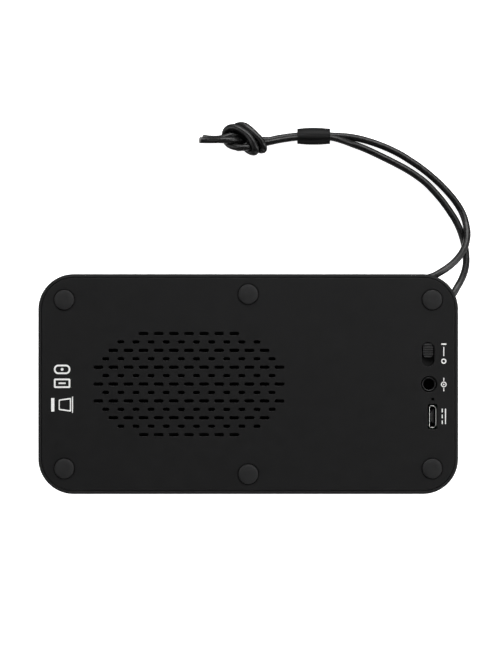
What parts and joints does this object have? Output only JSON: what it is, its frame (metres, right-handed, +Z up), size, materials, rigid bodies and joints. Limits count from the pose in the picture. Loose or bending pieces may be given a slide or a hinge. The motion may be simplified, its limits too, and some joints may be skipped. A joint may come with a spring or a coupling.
{
  "type": "portable splash-proof speaker",
  "caption": "Flat rounded-rectangle portable speaker with slotted bass vent, rubber feet, slide switch, jack and charging sockets, and a looped leather cord lanyard with bead and knot.",
  "frame": {"origin": "centre of the body's footprint, on the surface it lies on grille-down (the front rim plane)", "axes": "+X along the long side towards the ports, +Y across the body towards the lanyard corner, +Z up out of the back cover and its feet"},
  "size_m": [0.1427, 0.1231, 0.0328],
  "materials": {
    "shell_plastic": "satin black moulded ABS, fine texture",
    "cover_plastic": "matt black moulded ABS, fine spark texture",
    "black_rubber": "matt black rubber",
    "grille_fabric": "black acoustic cloth, plain weave",
    "inner_plastic": "plain black moulding",
    "zinc_screw": "zinc plated",
    "zinc_steel": "zinc plated pressed steel",
    "ferrite": "dark sintered ferrite",
    "cone_paper": "black coated paper",
    "foam": "closed cell foam",
    "battery_pouch": "film-wrapped pouch cells",
    "circuit_board": "green solder mask on glass fibre",
    "nickel_plate": "nickel plated steel",
    "clear_plastic": "clear light guide",
    "leather_cord": "glossy black round leather cord",
    "bead_plastic": "black barrel bead with fine lengthwise lines"
  },
  "bodies": {
    "root": {"front_housing": "shell_plastic", "back_cover": "cover_plastic", "back_cover_vent_field": "cover_plastic", "back_cover_port_field": "cover_plastic", "cover_seal": "black_rubber", "grille_frame": "inner_plastic", "grille_cloth": "grille_fabric", "foot_1": "black_rubber", "cover_screw_1": "zinc_screw", "foot_2": "black_rubber", "cover_screw_2": "zinc_screw", "foot_3": "black_rubber", "cover_screw_3": "zinc_screw", "foot_4": "black_rubber", "cover_screw_4": "zinc_screw", "foot_5": "black_rubber", "cover_screw_5": "zinc_screw", "foot_6": "black_rubber", "cover_screw_6": "zinc_screw", "left_driver_gasket": "foam", "left_driver_basket": "zinc_steel", "left_driver_magnet": "ferrite", "left_driver_yoke": "zinc_steel", "left_driver_surround": "black_rubber", "right_driver_gasket": "foam", "right_driver_basket": "zinc_steel", "right_driver_magnet": "ferrite", "right_driver_yoke": "zinc_steel", "right_driver_surround": "black_rubber", "radiator_frame": "inner_plastic", "radiator_surround": "black_rubber", "battery_pack": "battery_pouch", "battery_foam_pad": "foam", "main_board": "circuit_board", "board_screw_1": "zinc_screw", "board_screw_2": "zinc_screw", "audio_jack": "inner_plastic", "usb_socket_shell": "nickel_plate", "usb_socket_tongue": "inner_plastic", "light_pipe": "clear_plastic", "switch_body": "inner_plastic", "radio_module_shield": "nickel_plate", "button_board": "circuit_board", "lanyard_strand_a": "leather_cord", "lanyard_strand_b": "leather_cord", "lanyard_knot": "leather_cord", "lanyard_tail_a": "leather_cord", "lanyard_tail_b": "leather_cord"},
    "left_cone": {"left_driver_cone": "cone_paper", "left_driver_dust_cap": "cone_paper"},
    "right_cone": {"right_driver_cone": "cone_paper", "right_driver_dust_cap": "cone_paper"},
    "passive_radiator": {"radiator_plate": "inner_plastic"},
    "power_switch": {"switch_knob": "black_rubber"},
    "volume_down_key": {"volume_down_button": "black_rubber"},
    "play_key": {"play_button": "black_rubber"},
    "volume_up_key": {"volume_up_button": "black_rubber"},
    "bead": {"lanyard_bead": "bead_plastic"}
  },
  "joints": [
    {"name": "switch_slide", "type": "slide", "parent": "root", "child": "power_switch", "axis": [0, -1, 0], "range_m": [0, 0.0025]},
    {"name": "volume_down_press", "type": "slide", "parent": "root", "child": "volume_down_key", "axis": [0, 1, 0], "range_m": [0, 0.0006], "stiffness_N_per_m": 2500},
    {"name": "play_press", "type": "slide", "parent": "root", "child": "play_key", "axis": [0, 1, 0], "range_m": [0, 0.0006], "stiffness_N_per_m": 2500},
    {"name": "volume_up_press", "type": "slide", "parent": "root", "child": "volume_up_key", "axis": [0, 1, 0], "range_m": [0, 0.0006], "stiffness_N_per_m": 2500},
    {"name": "left_cone_stroke", "type": "slide", "parent": "root", "child": "left_cone", "axis": [0, 0, 1], "range_m": [-0.001, 0.001], "stiffness_N_per_m": 1500},
    {"name": "right_cone_stroke", "type": "slide", "parent": "root", "child": "right_cone", "axis": [0, 0, 1], "range_m": [-0.001, 0.001], "stiffness_N_per_m": 1500},
    {"name": "radiator_stroke", "type": "slide", "parent": "root", "child": "passive_radiator", "axis": [0, 0, 1], "range_m": [-0.0015, 0.0015], "stiffness_N_per_m": 900},
    {"name": "bead_slide", "type": "hinge", "parent": "root", "child": "bead", "pos_m": [0.0221, 0.02006, 0.00288], "axis": [0, 0, 1], "range_deg": [-2.3, 7.3]}
  ]
}
